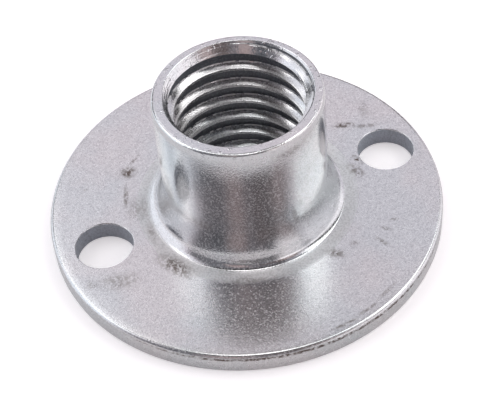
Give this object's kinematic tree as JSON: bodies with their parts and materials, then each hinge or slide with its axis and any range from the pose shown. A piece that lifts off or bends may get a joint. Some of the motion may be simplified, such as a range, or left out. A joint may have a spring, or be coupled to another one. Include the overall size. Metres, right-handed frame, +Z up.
{
  "type": "round-base tee nut",
  "caption": "Round-base tee nut: a tapped collar drawn up from a round flange, with a screw hole on each side.",
  "frame": {"origin": "centre of the flange's underside", "axes": "+Z up the collar's axis towards its rim, +X through the centres of the two screw holes"},
  "size_m": [0.027, 0.027, 0.0112],
  "materials": {
    "zinc_plate": "bright zinc plate on drawn steel sheet, satin"
  },
  "bodies": {
    "root": {"tee_nut": "zinc_plate"}
  },
  "joints": []
}
